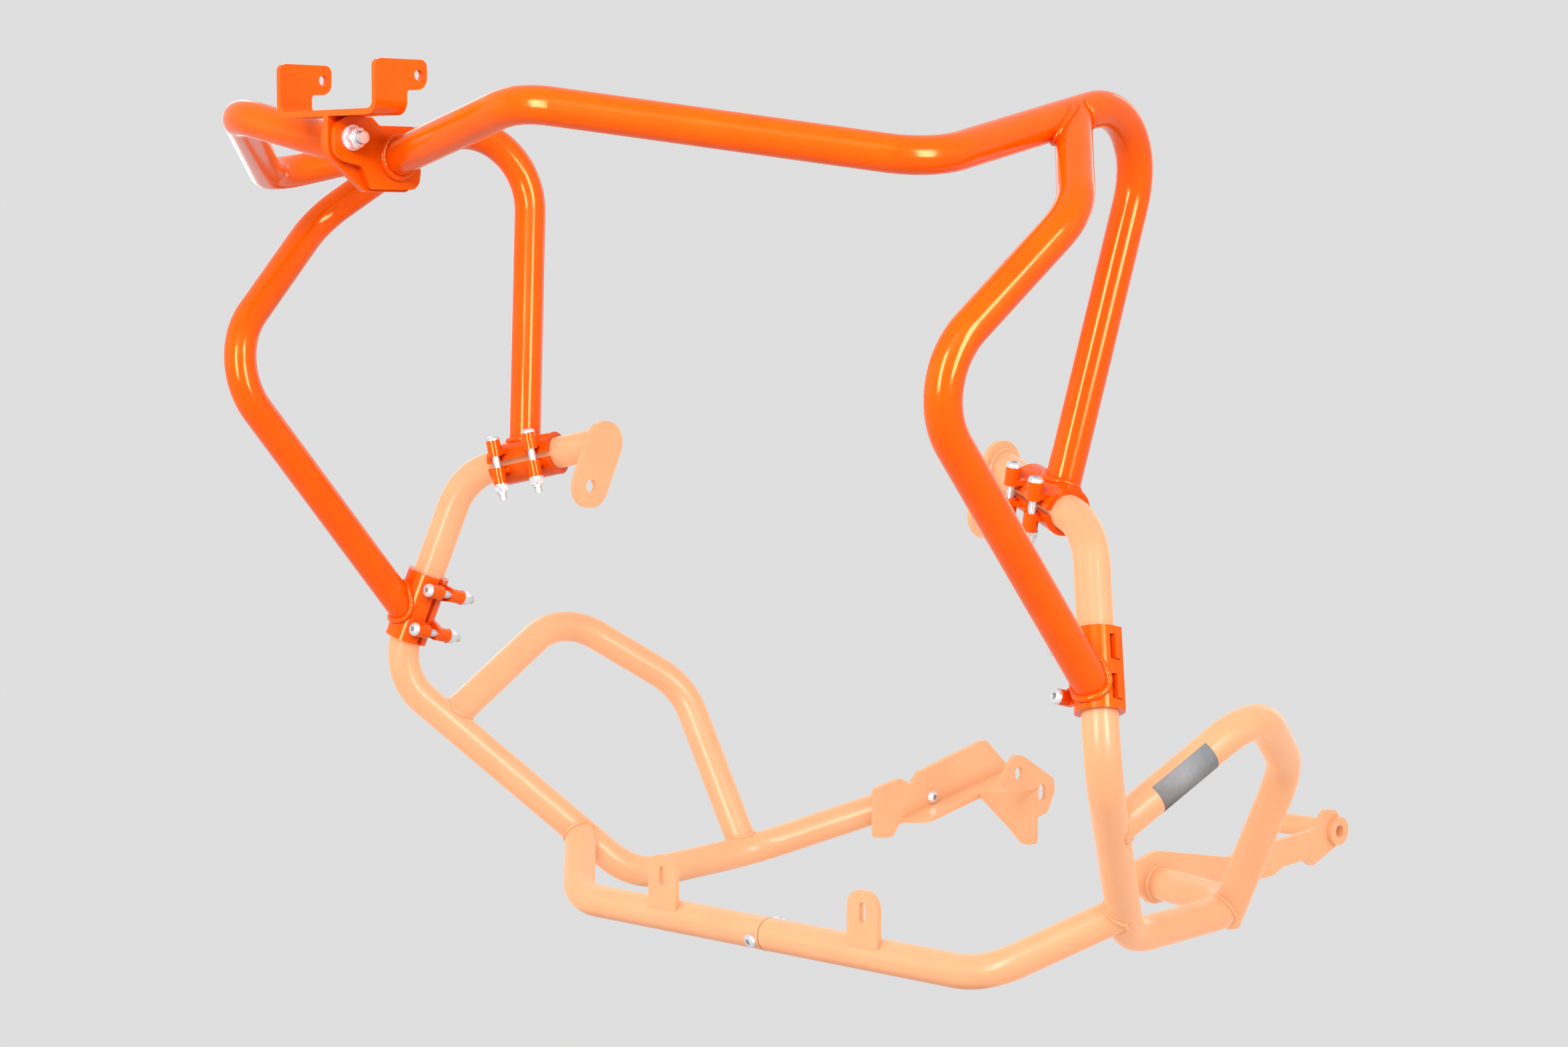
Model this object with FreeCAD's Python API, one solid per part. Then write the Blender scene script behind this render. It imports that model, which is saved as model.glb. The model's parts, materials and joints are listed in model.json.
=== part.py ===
import FreeCAD, Part
import math
import os

# Motorcycle crash bars, as mounted: X lateral, Y towards the rear, Z up, millimetres.
# Both sides are drawn outwards from the middle plane and the left one is mirrored.

V = FreeCAD.Vector
os.makedirs("parts", exist_ok=True)

# Tubes
tube_od = 25.0
tube_wall = 2.0
upper_bend_radius = 55.0
front_bend_radius = 45.0
lower_bend_radius = 50.0
joint_gap = 0.3

# Upper guard tube, corner points of its centre line (outwards, rearwards, up)
upper_start = V(0.0, -153.0, 583.3)
upper_front_corner = V(150.0, -171.0, 617.0)
upper_side_corner = V(350.0, 0.0, 580.0)
upper_rear_corner = V(328.0, 246.0, 632.0)
upper_foot_along_clamp = 7.5
upper_foot_back = 4.5

# Branch tube, from the upper guard tube down to the front clamp
branch_root_share = 0.604
branch_top_corner = V(398.0, 82.5, 548.0)
branch_nose_corner = V(370.0, -33.0, 440.5)
branch_foot_along_clamp = {"left": 11.6, "right": 17.5}

# Lower tube, corner points of its centre line
lower_start = {"left": V(213.0, 219.0, 373.0), "right": V(213.0, 219.0, 370.5)}
lower_top_corner = {"left": V(332.0, 177.0, 346.0), "right": V(331.0, 175.0, 338.0)}
lower_knee_corner = {"left": V(375.5, 136.5, 184.0), "right": V(378.0, 135.0, 182.5)}
lower_floor_corner = {"left": V(259.5, 292.0, 14.2), "right": V(266.5, 293.0, 35.0)}
lower_heel_corner = {"left": V(258.0, 422.0, 20.6), "right": V(261.0, 431.0, 40.0)}
lower_end = {"left": V(158.5, 489.0, 64.0), "right": V(152.5, 464.0, 39.5)}

# Loop tube behind the knee, both ends welded on the lower tube
loop_root_share = {"left": 0.229, "right": 0.341}
loop_top_corner = {"left": V(374.0, 314.0, 220.0), "right": V(372.0, 306.0, 208.0)}
loop_rear_corner = {"left": V(326.0, 408.0, 155.0), "right": V(322.6, 402.7, 154.0)}
loop_foot_share = {"left": 0.962, "right": 0.866}
loop_foot_depth = 8.0

# Cross tube under the engine, bolted together in the middle
cross_root_share = {"left": 0.779, "right": 0.83}
cross_corner = V(217.0, 196.0, 14.5)
cross_bolt_at = 8.0
cross_bolt_tilt = 19.0
spigot_reach = 40.0
spigot_wall = 2.5
cross_tab_at = {"left": 107.5, "right": 107.5}
cross_tab_width = 31.0
cross_tab_rise = 48.0
cross_tab_thickness = 4.0
cross_tab_forward = 9.0
cross_tab_corner = 13.0
cross_slot_width = 5.5
cross_slot_length = 15.0
cross_slot_rise = 32.0

# Clamps that join the upper and the lower set
clamp_length = 56.0
clamp_outer_radius = 17.0
clamp_split = 4.0
clamp_lip_thickness = 2.6
clamp_lip_drop = 7.0
clamp_slot_length = 17.0
clamp_slot_pitch = 27.0
clamp_slot_front = 4.3
clamp_slot_rear = 3.8
clamp_tongue_width = 4.3
clamp_tongue_proud = 1.0
clamp_bolt_pitch = 33.0
clamp_barrel_od = 11.0
clamp_barrel_length = 13.0
clamp_grip = 35.0
clamp_web_thickness = 4.0
clamp_web_root = 16.0
rear_clamp_at = 69.0
rear_clamp_bolt_offset = 21.0
rear_clamp_head_side = 19.0
rear_clamp_bolt_shift = 0.0
front_clamp_at = {"left": 114.4, "right": 99.8}
front_clamp_bolt_offset = 23.5
front_clamp_head_side = 15.0
front_clamp_bolt_shift = 2.3

# Fasteners
m6 = 6.0
m6_head_od = 11.0
m6_head_height = 3.3
m6_socket = 4.0
m6_nut_across = 10.0
m6_nut_height = 7.0
m6_washer_od = 12.0
m6_washer_thickness = 1.2
m6_thread_end = 4.5
short_thread_end = 3.0
m8 = 8.0
m8_nut_across = 13.0
m8_head_height = 5.3
m8_nut_height = 8.0
m8_washer_od = 17.0
m8_washer_thickness = 1.6
m8_thread_end = 4.0
hole_play = 0.6

# Mount plates at the upper ends of the lower tubes
mount_plate_outer_x = 213.0
mount_plate_top_y = 219.0
mount_plate_top_z = 373.0
mount_plate_thickness = 4.5
mount_plate_radius = 17.5
mount_hole_back = 15.5
mount_hole_drop = 33.0
mount_hole_diameter = 10.5

# Centre joint in front: two plates on a stem that carries the folded bracket
plate_thickness = 5.0
centre_bolt_y = -193.0
centre_bolt_z = 597.0
centre_nose_radius = 14.0
centre_rear_y = -135.5
centre_top_z = 605.5
centre_bottom_z = 563.5
stem_front_y = -208.7
stem_top_z = 611.0
bracket_sheet = 4.0
bracket_half_width = 53.3
bracket_depth = 26.0
bracket_ear_depth = 42.5
bracket_height = 36.0
bracket_ear_step = 16.3
bracket_inner_radius = 5.0
bracket_hole_diameter = 7.0
bracket_hole_rear_inset = 7.0
bracket_hole_top_inset = 10.0

# Rear brackets
blade_thickness = 5.0
left_flange_width = 28.0
left_shelf_reach = 86.0
left_shelf_front_y = 573.0
left_shelf_rear_y = 600.0
left_fold_front = (495.0, 46.4)
left_fold_rear = (630.0, 77.0)
left_end_plate_thickness = 4.0
gusset_thickness = 4.0
left_slot_width = 9.5
left_blade_bolt_y = 535.0
left_blade_bolt_z = 65.3
right_boss_y = 687.3
right_boss_z = 55.0
right_boss_hole = 10.0
right_collar_od = 23.0
right_collar_thickness = 4.0
right_spacer_od = 17.0
right_spacer_length = 50.0

tube_radius = tube_od / 2
bore_radius = tube_radius - tube_wall
cope_radius = tube_radius + joint_gap
far = 1000.0
mirror_plane = (V(0, 0, 0), V(1, 0, 0))


def unit(vector):
    return V(vector).normalize()


def between(start, end, share):
    return start + (end - start) * share


def rod(points, radii, radius):
    """Solid round bar along the corner points, each corner bent to its radius."""
    start = points[0]
    pieces = []
    for i in range(1, len(points) - 1):
        arriving = unit(points[i] - points[i - 1])
        leaving = unit(points[i + 1] - points[i])
        angle = arriving.getAngle(leaving)
        reach = radii[i - 1] * math.tan(angle / 2)
        entry = points[i] - arriving * reach
        normal = unit(arriving.cross(leaving))
        centre = entry + normal.cross(arriving) * radii[i - 1]
        pieces.append(Part.makeCylinder(radius, (entry - start).Length, start, arriving))
        section = Part.Face(Part.Wire(Part.makeCircle(radius, entry, arriving)))
        pieces.append(section.revolve(centre, normal, math.degrees(angle)))
        start = points[i] + leaving * reach
    last = points[-1] - start
    pieces.append(Part.makeCylinder(radius, last.Length, start, unit(last)))
    if len(pieces) == 1:
        return pieces[0]
    return pieces[0].fuse(pieces[1:]).removeSplitter()


def tube(points, radii):
    """Hollow tube: the same run drawn at the outer and at the inner radius."""
    first = points[0] - unit(points[1] - points[0])
    last = points[-1] + unit(points[-1] - points[-2])
    inner = rod([first] + points[1:-1] + [last], radii, bore_radius)
    return rod(points, radii, tube_radius).cut(inner)


def largest(shape):
    return max(shape.Solids, key=lambda solid: solid.Volume)


def inside_of(x):
    """Block that fills everything inwards of a lateral position."""
    return Part.makeBox(far, 2 * far, 2 * far, V(x - far, -far, -far))


def outline(corners):
    """Closed face normal to Z from (u, v, radius) corners, rounded where radius > 0."""
    edges = []
    count = len(corners)
    joins = []
    for i in range(count):
        here = V(corners[i][0], corners[i][1], 0)
        before = V(corners[i - 1][0], corners[i - 1][1], 0)
        after = V(corners[(i + 1) % count][0], corners[(i + 1) % count][1], 0)
        radius = corners[i][2]
        arriving = unit(here - before)
        leaving = unit(after - here)
        angle = arriving.getAngle(leaving)
        if radius <= 0 or angle < 1e-6:
            joins.append((here, here, None))
            continue
        reach = radius * math.tan(angle / 2)
        entry = here - arriving * reach
        leave = here + leaving * reach
        towards = unit(leaving - arriving)
        centre = here + towards * (radius / math.cos(angle / 2))
        middle = centre - towards * radius
        joins.append((entry, leave, Part.Arc(entry, middle, leave).toShape()))
    for i in range(count):
        previous = joins[i - 1][1]
        entry, leave, arc = joins[i]
        if (entry - previous).Length > 1e-6:
            edges.append(Part.LineSegment(previous, entry).toShape())
        if arc:
            edges.append(arc)
    return Part.Face(Part.Wire(Part.__sortEdges__(edges)))


def placed(shape, origin, x_axis, y_axis, z_axis):
    """Copy of a shape drawn about the origin, moved into a frame of three axes."""
    matrix = FreeCAD.Matrix(
        x_axis.x, y_axis.x, z_axis.x, origin.x,
        x_axis.y, y_axis.y, z_axis.y, origin.y,
        x_axis.z, y_axis.z, z_axis.z, origin.z,
        0, 0, 0, 1)
    moved = shape.copy()
    moved.Placement = FreeCAD.Placement(matrix).multiply(moved.Placement)
    return moved


def plate_across_x(x, thickness, corners):
    """Plate with its outline in (rearwards, up), from x outwards by its thickness."""
    flat = outline(corners).extrude(V(0, 0, thickness))
    return placed(flat, V(x, 0, 0), V(0, 1, 0), V(0, 0, 1), V(1, 0, 0))


def plate_across_y(y, thickness, corners):
    """Plate with its outline in (up, outwards), from y rearwards by its thickness."""
    flat = outline(corners).extrude(V(0, 0, thickness))
    return placed(flat, V(0, y, 0), V(0, 0, 1), V(1, 0, 0), V(0, 1, 0))


def pin_across_x(x, y, z, radius, length):
    return Part.makeCylinder(radius, length, V(x, y, z), V(1, 0, 0))


def slot_across_x(x, thickness, y, z, width, height):
    radius = width / 2
    corners = [
        (y - radius, z - height / 2, radius * 0.999),
        (y + radius, z - height / 2, radius * 0.999),
        (y + radius, z + height / 2, radius * 0.999),
        (y - radius, z + height / 2, radius * 0.999),
    ]
    return plate_across_x(x - 1, thickness + 2, corners)


def hexagon(across, height):
    """Hexagonal prism from z = 0 up, its upper corners turned down."""
    corner = across / 2 / math.cos(math.radians(30))
    points = []
    for i in range(7):
        turn = math.radians(60 * i)
        points.append(V(corner * math.cos(turn), corner * math.sin(turn), 0))
    prism = Part.Face(Part.makePolygon(points)).extrude(V(0, 0, height))
    turned = Part.makeCone(across / 2 + height, across / 2, height)
    return prism.common(turned)


def ring(outer, inner, height):
    return Part.makeCylinder(outer, height).cut(Part.makeCylinder(inner, height))


def button_bolt(length):
    """M6 button head bolt: head above z = 0, shank below."""
    radius = m6_head_od / 2
    profile = Part.Face(Part.makePolygon([
        V(0, 0, 0),
        V(radius, 0, 0),
        V(radius, 0, m6_head_height * 0.3),
        V(radius * 0.85, 0, m6_head_height * 0.75),
        V(radius * 0.5, 0, m6_head_height),
        V(0, 0, m6_head_height),
        V(0, 0, 0),
    ]))
    head = profile.revolve(V(0, 0, 0), V(0, 0, 1), 360)
    socket = hexagon(m6_socket, m6_head_height)
    socket.translate(V(0, 0, m6_head_height * 0.4))
    shank = Part.makeCylinder(m6 / 2, length, V(0, 0, -length))
    return head.fuse(shank).cut(socket).removeSplitter()


def lock_nut(across, thread, height):
    """Nut with a narrower crown, its flat face at z = 0, pointing up."""
    body = hexagon(across, height * 0.72)
    crown = Part.makeCylinder(across * 0.43, height)
    hole = Part.makeCylinder(thread / 2 + joint_gap, height)
    return body.fuse(crown).cut(hole).removeSplitter()


def clamp(bolt_offset, head_side, bolt_shift):
    """Two-part clamp about the X axis, bolts along Z with their heads up, at +Y.

    The head half carries a lip with two slots at -Y. The nut half hooks its
    two tongues into them.
    """
    half = clamp_length / 2
    shell = ring(clamp_outer_radius, cope_radius, clamp_length)
    shell = placed(shell, V(-half, 0, 0), V(0, 1, 0), V(0, 0, 1), V(1, 0, 0))
    bore = Part.makeCylinder(cope_radius, clamp_length, V(-half, 0, 0), V(1, 0, 0))
    big = 2 * clamp_outer_radius
    lip_inner = clamp_outer_radius - clamp_lip_thickness

    above = Part.makeBox(clamp_length, big, big, V(-half, 0, clamp_split / 2))
    above = above.fuse(Part.makeBox(clamp_length, big, big, V(-half, -big, 0)))
    head_half = shell.common(above)
    lip = Part.makeBox(clamp_length, clamp_lip_thickness, clamp_lip_drop,
                       V(-half, -clamp_outer_radius, -clamp_lip_drop))
    head_half = head_half.fuse(lip)

    below = Part.makeBox(clamp_length, big, big, V(-half, 0, -clamp_split / 2 - big))
    hook_room = lip_inner - joint_gap
    below = below.fuse(Part.makeBox(clamp_length, hook_room, big - 1,
                                    V(-half, -hook_room, -big)))
    nut_half = shell.common(below)

    tongue_top = clamp_tongue_width - clamp_slot_rear + joint_gap
    for at in (-clamp_slot_pitch / 2, clamp_slot_pitch / 2):
        slot = Part.makeBox(clamp_slot_length, big, clamp_slot_front + clamp_slot_rear,
                            V(at - clamp_slot_length / 2, -big, -clamp_slot_rear))
        head_half = head_half.cut(slot)
        tongue_length = clamp_slot_length - 2 * joint_gap
        tongue_reach = clamp_outer_radius + clamp_tongue_proud
        tongue = Part.makeBox(tongue_length, tongue_reach, clamp_tongue_width,
                              V(at - tongue_length / 2, -tongue_reach,
                                tongue_top - clamp_tongue_width))
        nut_half = nut_half.fuse(tongue.cut(bore))

    nut_side = head_side - clamp_grip
    barrel_radius = clamp_barrel_od / 2
    bolts = []
    washers = []
    nuts = []
    for hand in (-1, 1):
        at = bolt_shift + hand * clamp_bolt_pitch / 2
        inwards = -hand
        web = Part.Face(Part.makePolygon([
            V(at - inwards * barrel_radius, bolt_offset, 0),
            V(at + inwards * barrel_radius, bolt_offset, 0),
            V(at + inwards * (clamp_web_root - barrel_radius), clamp_split, 0),
            V(at - inwards * barrel_radius, clamp_split, 0),
            V(at - inwards * barrel_radius, bolt_offset, 0),
        ])).extrude(V(0, 0, clamp_web_thickness))
        top = head_side - clamp_barrel_length
        upper_barrel = Part.makeCylinder(barrel_radius, clamp_barrel_length,
                                         V(at, bolt_offset, top))
        upper_web = web.translated(V(0, 0, top + 1))
        head_half = head_half.fuse([upper_barrel, upper_web.cut(bore)])
        lower_barrel = Part.makeCylinder(barrel_radius, clamp_barrel_length,
                                         V(at, bolt_offset, nut_side))
        lower_web = web.translated(V(0, 0, nut_side + clamp_barrel_length
                                     - 1 - clamp_web_thickness))
        nut_half = nut_half.fuse([lower_barrel, lower_web.cut(bore)])
        hole = Part.makeCylinder((m6 + hole_play) / 2, 2 * clamp_grip,
                                 V(at, bolt_offset, nut_side - clamp_grip / 2))
        head_half = head_half.cut(hole)
        nut_half = nut_half.cut(hole)
        shank = clamp_grip + m6_washer_thickness + m6_nut_height + m6_thread_end
        bolts.append(button_bolt(shank).translated(V(at, bolt_offset, head_side)))
        washer = ring(m6_washer_od / 2, (m6 + hole_play) / 2, m6_washer_thickness)
        washers.append(washer.translated(V(at, bolt_offset, nut_side - m6_washer_thickness)))
        nut = lock_nut(m6_nut_across, m6, m6_nut_height)
        nut = placed(nut, V(at, bolt_offset, nut_side - m6_washer_thickness),
                     V(1, 0, 0), V(0, -1, 0), V(0, 0, -1))
        nuts.append(nut)
    return {
        "head_half": [head_half.removeSplitter()],
        "nut_half": [nut_half.removeSplitter()],
        "bolts": bolts,
        "washers": washers,
        "nuts": nuts,
    }


cross_bolt_turn = math.radians(cross_bolt_tilt)
cross_bolt_heading = V(0, -math.cos(cross_bolt_turn), -math.sin(cross_bolt_turn))
nodes = {}
clamp_fasteners = {"bolts": [], "washers": [], "nuts": []}


def keep(side, name, shape):
    """Store a piece drawn outwards under its side, mirrored for the left."""
    if side == "left":
        shape = shape.mirror(*mirror_plane)
    nodes[side + "_" + name] = shape


def centre_corners():
    """Outline of the centre plates, nose about the bolt, in (rearwards, up)."""
    nose = centre_nose_radius
    return [
        (centre_bolt_y - nose, centre_bolt_z + nose, nose * 0.9),
        (centre_bolt_y - nose, centre_bolt_z - nose, nose * 0.8),
        (centre_bolt_y + 8, centre_bolt_z - 18.5, 4),
        (centre_bolt_y + 16, centre_bottom_z, 4),
        (centre_rear_y - 2, centre_bottom_z, 8),
        (centre_rear_y, centre_bottom_z + 12, 6),
        (centre_rear_y - 4.5, centre_top_z, 4),
        (centre_bolt_y + 23, centre_top_z, 3),
        (centre_bolt_y + 17, centre_bolt_z + nose, 4),
    ]


def cross_bolt_hole(centre):
    return Part.makeCylinder((m6 + hole_play) / 2, 2 * tube_od,
                             centre + cross_bolt_heading * tube_od, cross_bolt_heading * -1)


for side in ("left", "right"):
    start = lower_start[side]
    top_corner = lower_top_corner[side]
    knee_corner = lower_knee_corner[side]
    lower_axis = unit(top_corner - start)
    shin_axis = unit(knee_corner - top_corner)
    rear_clamp_centre = start + lower_axis * rear_clamp_at
    front_clamp_centre = top_corner + shin_axis * front_clamp_at[side]
    floor_corner = lower_floor_corner[side]
    heel_corner = lower_heel_corner[side]
    end = lower_end[side]

    # Lower tube
    lower_run = [
        start - lower_axis * tube_od,
        top_corner,
        knee_corner,
        floor_corner,
        heel_corner,
        end + unit(end - heel_corner) * tube_od,
    ]
    lower_radii = [lower_bend_radius] * 2 + [upper_bend_radius] * 2
    lower_tube = tube(lower_run, lower_radii)
    halfway_z = (start.z + end.z) / 2
    above = Part.makeBox(far, 2 * far, far, V(mount_plate_outer_x - far, -far, halfway_z))
    below = Part.makeBox(far, 2 * far, far, V(end.x - far, -far, halfway_z - far))
    lower_tube = largest(lower_tube.cut([above, below]))
    keep(side, "lower_tube", lower_tube)
    lower_cope = rod(lower_run, lower_radii, cope_radius)

    # Mount plate at the upper end of the lower tube
    plate_x = mount_plate_outer_x - mount_plate_thickness
    high = V(plate_x, mount_plate_top_y, mount_plate_top_z)
    low = high - V(0, mount_hole_back, mount_hole_drop)
    along = unit(low - high)
    across = along.cross(V(1, 0, 0)) * mount_plate_radius
    edges = [
        Part.LineSegment(high + across, low + across).toShape(),
        Part.Arc(low + across, low + along * mount_plate_radius, low - across).toShape(),
        Part.LineSegment(low - across, high - across).toShape(),
        Part.Arc(high - across, high - along * mount_plate_radius, high + across).toShape(),
    ]
    mount_plate = Part.Face(Part.Wire(edges)).extrude(V(mount_plate_thickness, 0, 0))
    mount_hole = pin_across_x(plate_x, low.y, low.z, mount_hole_diameter / 2,
                              mount_plate_thickness)
    keep(side, "mount_plate", mount_plate.cut(mount_hole))

    # Upper guard tube
    upper_foot = rear_clamp_centre + lower_axis * upper_foot_along_clamp
    upper_foot = upper_foot + V(0, upper_foot_back, 0)
    upper_run = [upper_start, upper_front_corner, upper_side_corner, upper_rear_corner, upper_foot]
    upper_radii = [front_bend_radius, upper_bend_radius, upper_bend_radius]
    plate_outer = plate_thickness * 1.5
    rear_crown = Part.makeCylinder(clamp_outer_radius + joint_gap, 8 * tube_od,
                                   rear_clamp_centre - lower_axis * 4 * tube_od, lower_axis)
    rear_up = unit(V(0, 0, 1) - lower_axis * lower_axis.z)
    rear_forward = rear_up.cross(lower_axis)
    rear_forward = rear_forward if rear_forward.y < 0 else rear_forward * -1
    under_split = placed(Part.makeBox(far, far, far, V(-far / 2, -far / 2, clamp_split / 2 - far)),
                         rear_clamp_centre, rear_forward.cross(rear_up), rear_forward, rear_up)
    upper_tube = tube(upper_run, upper_radii)
    upper_tube = upper_tube.cut([inside_of(plate_outer), rear_crown, under_split])
    keep(side, "upper_tube", largest(upper_tube))
    upper_cope = rod(upper_run, upper_radii, cope_radius)

    # Branch tube
    branch_root = between(upper_side_corner, upper_rear_corner, branch_root_share)
    branch_foot = front_clamp_centre + shin_axis * branch_foot_along_clamp[side]
    branch_run = [branch_root, branch_top_corner, branch_nose_corner, branch_foot]
    front_crown = Part.makeCylinder(clamp_outer_radius + joint_gap, 8 * tube_od,
                                    front_clamp_centre - shin_axis * 4 * tube_od, shin_axis)
    branch_tube = tube(branch_run, [upper_bend_radius] * 2).cut([upper_cope, front_crown])
    keep(side, "branch_tube", largest(branch_tube))

    # Loop tube
    loop_root = between(knee_corner, floor_corner, loop_root_share[side])
    loop_foot = between(floor_corner, heel_corner, loop_foot_share[side])
    loop_foot = loop_foot + unit(loop_foot - loop_rear_corner[side]) * loop_foot_depth
    loop_run = [loop_root, loop_top_corner[side], loop_rear_corner[side], loop_foot]
    loop_tube = tube(loop_run, [upper_bend_radius] * 2).cut(lower_cope)
    keep(side, "loop_tube", largest(loop_tube))

    # Half of the cross tube with its slotted tab
    cross_root = between(knee_corner, floor_corner, cross_root_share[side])
    cross_run = [V(0, cross_corner.y, cross_corner.z), cross_corner, cross_root]
    cross_tube = tube(cross_run, [upper_bend_radius]).cut(lower_cope)
    cross_tube = largest(cross_tube.cut(inside_of(0)))
    if side == "left":
        bolt_centre = V(cross_bolt_at, cross_corner.y, cross_corner.z)
        cross_tube = cross_tube.cut(cross_bolt_hole(bolt_centre))
    keep(side, "cross_tube", cross_tube)
    tab_x = cross_tab_at[side]
    half_tab = cross_tab_width / 2
    tab_top = cross_corner.z + cross_tab_rise
    tab_front = cross_corner.y - cross_tab_forward - cross_tab_thickness / 2
    tab = plate_across_y(tab_front, cross_tab_thickness, [
        (cross_corner.z, tab_x - half_tab, 0),
        (tab_top, tab_x - half_tab, cross_tab_corner),
        (tab_top, tab_x + half_tab, cross_tab_corner),
        (cross_corner.z, tab_x + half_tab, 0),
    ])
    slot_z = cross_corner.z + cross_slot_rise
    tab_slot = plate_across_y(tab_front - 1, cross_tab_thickness + 2, [
        (slot_z - cross_slot_length / 2, tab_x - cross_slot_width / 2, cross_slot_width * 0.499),
        (slot_z + cross_slot_length / 2, tab_x - cross_slot_width / 2, cross_slot_width * 0.499),
        (slot_z + cross_slot_length / 2, tab_x + cross_slot_width / 2, cross_slot_width * 0.499),
        (slot_z - cross_slot_length / 2, tab_x + cross_slot_width / 2, cross_slot_width * 0.499),
    ])
    keep(side, "cross_tab", largest(tab.cut([tab_slot, rod(cross_run, [upper_bend_radius],
                                                          cope_radius)])))

    # Clamps
    rear = clamp(rear_clamp_bolt_offset, rear_clamp_head_side, rear_clamp_bolt_shift)
    front_up = unit(V(0, -1, 0) + shin_axis * shin_axis.y)
    inward = front_up.cross(shin_axis)
    inward = inward if inward.x < 0 else inward * -1
    front = clamp(front_clamp_bolt_offset, front_clamp_head_side, front_clamp_bolt_shift)
    clamps = {
        "rear": (rear, rear_clamp_centre, rear_forward, rear_up),
        "front": (front, front_clamp_centre, inward, front_up),
    }
    for place, (pieces, centre, towards_bolts, heads_up) in clamps.items():
        for name, solids in pieces.items():
            for solid in solids:
                piece = placed(solid, centre, towards_bolts.cross(heads_up), towards_bolts,
                               heads_up)
                if name in clamp_fasteners:
                    piece = piece.mirror(*mirror_plane) if side == "left" else piece
                    clamp_fasteners[name].append(piece)
                else:
                    keep(side, place + "_clamp_" + name, piece)

    # Centre plate that the upper tube is welded to
    bolt_hole = pin_across_x(0, centre_bolt_y, centre_bolt_z, (m8 + hole_play) / 2, far)
    centre_plate = plate_across_x(plate_thickness / 2, plate_thickness, centre_corners())
    keep(side, "centre_plate", centre_plate.cut(bolt_hole))

for name, solids in clamp_fasteners.items():
    nodes["clamp_" + name] = Part.makeCompound(solids)

# Middle sleeve of the cross tube and its bolt
spigot_outer = bore_radius - joint_gap
spigot = Part.makeCylinder(spigot_outer, 2 * spigot_reach,
                           V(-spigot_reach, cross_corner.y, cross_corner.z), V(1, 0, 0))
spigot = spigot.cut(Part.makeCylinder(spigot_outer - spigot_wall, 2 * spigot_reach,
                                      V(-spigot_reach, cross_corner.y, cross_corner.z),
                                      V(1, 0, 0)))
bolt_centre = V(-cross_bolt_at, cross_corner.y, cross_corner.z)
bolt_across = cross_bolt_heading.cross(V(1, 0, 0))
cross_bolt = placed(button_bolt(tube_od + m6_nut_height + short_thread_end),
                    bolt_centre + cross_bolt_heading * tube_radius,
                    V(1, 0, 0), bolt_across, cross_bolt_heading)
cross_nut = placed(lock_nut(m6_nut_across, m6, m6_nut_height),
                   bolt_centre - cross_bolt_heading * tube_radius,
                   V(1, 0, 0), bolt_across * -1, cross_bolt_heading * -1)
nodes["cross_tube_spigot"] = spigot.cut(cross_bolt_hole(bolt_centre))
nodes["cross_tube_bolt"] = cross_bolt
nodes["cross_tube_nut"] = cross_nut

# Stem between the centre plates
stem = plate_across_x(-plate_thickness / 2, plate_thickness, [
    (stem_front_y, stem_top_z, 0),
    (stem_front_y, stem_top_z - 26, 16),
    (centre_bolt_y + 14, centre_bottom_z - 1.5, 6),
    (centre_rear_y - 4.5, centre_bottom_z - 1.5, 6),
    (centre_rear_y - 4.5, centre_top_z, 4),
    (centre_bolt_y + 23, centre_top_z, 3),
    (centre_bolt_y + 17, stem_top_z, 0),
])
bolt_hole = pin_across_x(-far / 2, centre_bolt_y, centre_bolt_z, (m8 + hole_play) / 2, far)
nodes["bracket_stem"] = stem.cut(bolt_hole)

# Folded front bracket
outer_radius = bracket_inner_radius + bracket_sheet
channel = outline([
    (-bracket_half_width, bracket_height, 0),
    (-bracket_half_width, 0, outer_radius),
    (bracket_half_width, 0, outer_radius),
    (bracket_half_width, bracket_height, 0),
    (bracket_half_width - bracket_sheet, bracket_height, 0),
    (bracket_half_width - bracket_sheet, bracket_sheet, bracket_inner_radius),
    (bracket_sheet - bracket_half_width, bracket_sheet, bracket_inner_radius),
    (bracket_sheet - bracket_half_width, bracket_height, 0),
]).extrude(V(0, 0, bracket_ear_depth))
front_bracket = placed(channel, V(0, stem_front_y + bracket_ear_depth, stem_top_z),
                       V(1, 0, 0), V(0, 0, 1), V(0, -1, 0))
ear_profile = plate_across_x(-far / 2, far, [
    (stem_front_y, stem_top_z - 1, 0),
    (stem_front_y + bracket_depth, stem_top_z - 1, 0),
    (stem_front_y + bracket_depth, stem_top_z + bracket_ear_step, 3),
    (stem_front_y + bracket_ear_depth, stem_top_z + bracket_ear_step, 8),
    (stem_front_y + bracket_ear_depth, stem_top_z + bracket_height, 5),
    (stem_front_y, stem_top_z + bracket_height, 5),
])
ear_hole = pin_across_x(-far / 2, stem_front_y + bracket_ear_depth - bracket_hole_rear_inset,
                        stem_top_z + bracket_height - bracket_hole_top_inset,
                        bracket_hole_diameter / 2, far)
nodes["front_bracket"] = front_bracket.common(ear_profile).cut(ear_hole)

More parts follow.
